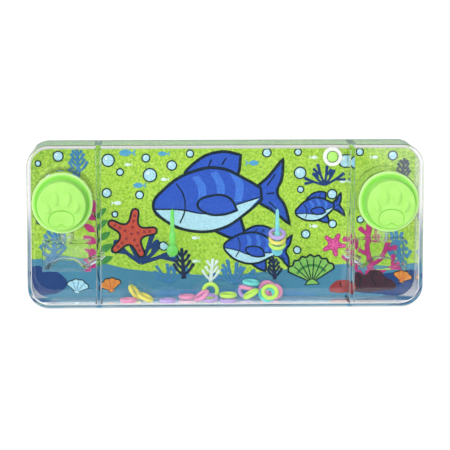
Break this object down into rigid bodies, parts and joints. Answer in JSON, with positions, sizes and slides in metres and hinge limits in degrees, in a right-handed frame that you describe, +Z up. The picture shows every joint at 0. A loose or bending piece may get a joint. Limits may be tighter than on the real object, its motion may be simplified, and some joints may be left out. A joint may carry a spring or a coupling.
{
  "type": "handheld water game",
  "caption": "Clear flat tank standing on its long edge, with two soft push buttons that pump jets of water, two pegs, and loose rings to toss onto them.",
  "frame": {"origin": "middle of the flat underside of the case, halfway through the case's thickness, with the toy standing on its long edge", "axes": "+X to the right as the player sees it, +Y away from the player, +Z up; the window and buttons face -Y"},
  "size_m": [0.145, 0.0311, 0.06],
  "materials": {
    "clear_plastic": "clear, polished, moulded",
    "printed_card": "printed film, matt",
    "soft_lime": "soft vinyl, satin",
    "white_plastic": "white, moulded",
    "aqua_plastic": "translucent, moulded",
    "pink_plastic": "moulded, satin",
    "purple_plastic": "moulded, satin",
    "yellow_plastic": "moulded, satin",
    "green_plastic": "moulded, satin",
    "cyan_plastic": "moulded, satin"
  },
  "bodies": {
    "case": {"front_case": "clear_plastic", "rear_cover": "clear_plastic", "backdrop_card": "printed_card", "left_button_rim": "soft_lime", "left_button_wall": "soft_lime", "left_pump_cup": "clear_plastic", "left_pump_duct": "clear_plastic", "left_jet": "clear_plastic", "right_button_rim": "soft_lime", "right_button_wall": "soft_lime", "right_pump_cup": "clear_plastic", "right_pump_duct": "clear_plastic", "right_jet": "clear_plastic", "left_peg": "aqua_plastic", "right_peg": "aqua_plastic", "filler_collar": "white_plastic"},
    "left_button": {"left_button_pad": "soft_lime"},
    "right_button": {"right_button_pad": "soft_lime"},
    "stopper": {"filler_stopper": "soft_lime"},
    "ring_pink_1": {"pink_ring_1": "pink_plastic"},
    "ring_yellow_1": {"yellow_ring_1": "yellow_plastic"},
    "ring_yellow_2": {"yellow_ring_2": "yellow_plastic"},
    "ring_purple_1": {"purple_ring_1": "purple_plastic"},
    "ring_pink_2": {"pink_ring_2": "pink_plastic"},
    "ring_pink_3": {"pink_ring_3": "pink_plastic"},
    "ring_green_1": {"green_ring_1": "green_plastic"},
    "ring_purple_2": {"purple_ring_2": "purple_plastic"},
    "ring_purple_3": {"purple_ring_3": "purple_plastic"},
    "ring_green_2": {"green_ring_2": "green_plastic"},
    "ring_purple_4": {"purple_ring_4": "purple_plastic"},
    "ring_pink_4": {"pink_ring_4": "pink_plastic"},
    "ring_cyan_1": {"cyan_ring_1": "cyan_plastic"},
    "ring_green_3": {"green_ring_3": "green_plastic"},
    "ring_cyan_2": {"cyan_ring_2": "cyan_plastic"},
    "ring_green_4": {"green_ring_4": "green_plastic"},
    "ring_pink_5": {"pink_ring_5": "pink_plastic"},
    "ring_pink_6": {"pink_ring_6": "pink_plastic"},
    "peg_ring_green": {"green_peg_ring": "green_plastic"},
    "peg_ring_yellow": {"yellow_peg_ring": "yellow_plastic"},
    "peg_ring_purple": {"purple_peg_ring": "purple_plastic"}
  },
  "joints": [
    {"name": "left_button_press", "type": "slide", "parent": "case", "child": "left_button", "axis": [0, 1, 0], "range_m": [0, 0.006], "stiffness_N_per_m": 400, "deforming": ["left_button_wall"]},
    {"name": "right_button_press", "type": "slide", "parent": "case", "child": "right_button", "axis": [0, 1, 0], "range_m": [0, 0.006], "stiffness_N_per_m": 400, "deforming": ["right_button_wall"]},
    {"name": "stopper_pull", "type": "slide", "parent": "case", "child": "stopper", "axis": [0, -1, 0], "range_m": [0, 0.012]},
    {"name": "pink_ring_1_lift", "type": "slide", "parent": "case", "child": "ring_pink_1", "axis": [0, 0, 1], "range_m": [0, 0.034]},
    {"name": "yellow_ring_1_lift", "type": "slide", "parent": "case", "child": "ring_yellow_1", "axis": [0, 0, 1], "range_m": [0, 0.02]},
    {"name": "yellow_ring_2_lift", "type": "slide", "parent": "case", "child": "ring_yellow_2", "axis": [0, 0, 1], "range_m": [0, 0.044]},
    {"name": "purple_ring_1_lift", "type": "slide", "parent": "case", "child": "ring_purple_1", "axis": [0, 0, 1], "range_m": [0, 0.028]},
    {"name": "pink_ring_2_lift", "type": "slide", "parent": "case", "child": "ring_pink_2", "axis": [0, 0, 1], "range_m": [0, 0.012]},
    {"name": "purple_ring_2_lift", "type": "slide", "parent": "case", "child": "ring_purple_2", "axis": [0, 0, 1], "range_m": [0, 0.016]},
    {"name": "pink_ring_3_lift", "type": "slide", "parent": "ring_purple_2", "child": "ring_pink_3", "axis": [0, 0, 1], "range_m": [0, 0.012]},
    {"name": "green_ring_1_lift", "type": "slide", "parent": "case", "child": "ring_green_1", "axis": [0, 0, 1], "range_m": [0, 0.04]},
    {"name": "purple_ring_3_lift", "type": "slide", "parent": "case", "child": "ring_purple_3", "axis": [0, 0, 1], "range_m": [0, 0.01]},
    {"name": "green_ring_2_lift", "type": "slide", "parent": "ring_purple_3", "child": "ring_green_2", "axis": [0, 0, 1], "range_m": [0, 0.022]},
    {"name": "purple_ring_4_lift", "type": "slide", "parent": "case", "child": "ring_purple_4", "axis": [0, 0, 1], "range_m": [0, 0.009]},
    {"name": "pink_ring_4_lift", "type": "slide", "parent": "ring_purple_4", "child": "ring_pink_4", "axis": [0, 0, 1], "range_m": [0, 0.012]},
    {"name": "cyan_ring_1_lift", "type": "slide", "parent": "ring_pink_4", "child": "ring_cyan_1", "axis": [0, 0, 1], "range_m": [0, 0.02]},
    {"name": "green_ring_3_lift", "type": "slide", "parent": "case", "child": "ring_green_3", "axis": [0, 0, 1], "range_m": [0, 0.026]},
    {"name": "cyan_ring_2_lift", "type": "slide", "parent": "case", "child": "ring_cyan_2", "axis": [0, 0, 1], "range_m": [0, 0.007]},
    {"name": "green_ring_4_lift", "type": "slide", "parent": "ring_cyan_2", "child": "ring_green_4", "axis": [0, 0, 1], "range_m": [0, 0.03]},
    {"name": "pink_ring_5_lift", "type": "slide", "parent": "case", "child": "ring_pink_5", "axis": [0, 0, 1], "range_m": [0, 0.008]},
    {"name": "pink_ring_6_lift", "type": "slide", "parent": "case", "child": "ring_pink_6", "axis": [0, 0, 1], "range_m": [0, 0.007]},
    {"name": "green_peg_ring_lift", "type": "slide", "parent": "case", "child": "peg_ring_green", "axis": [0, 0, 1], "range_m": [0, 0.007]},
    {"name": "yellow_peg_ring_lift", "type": "slide", "parent": "peg_ring_green", "child": "peg_ring_yellow", "axis": [0, 0, 1], "range_m": [0, 0.007]},
    {"name": "purple_peg_ring_lift", "type": "slide", "parent": "peg_ring_yellow", "child": "peg_ring_purple", "axis": [0, 0, 1], "range_m": [0, 0.007]}
  ]
}
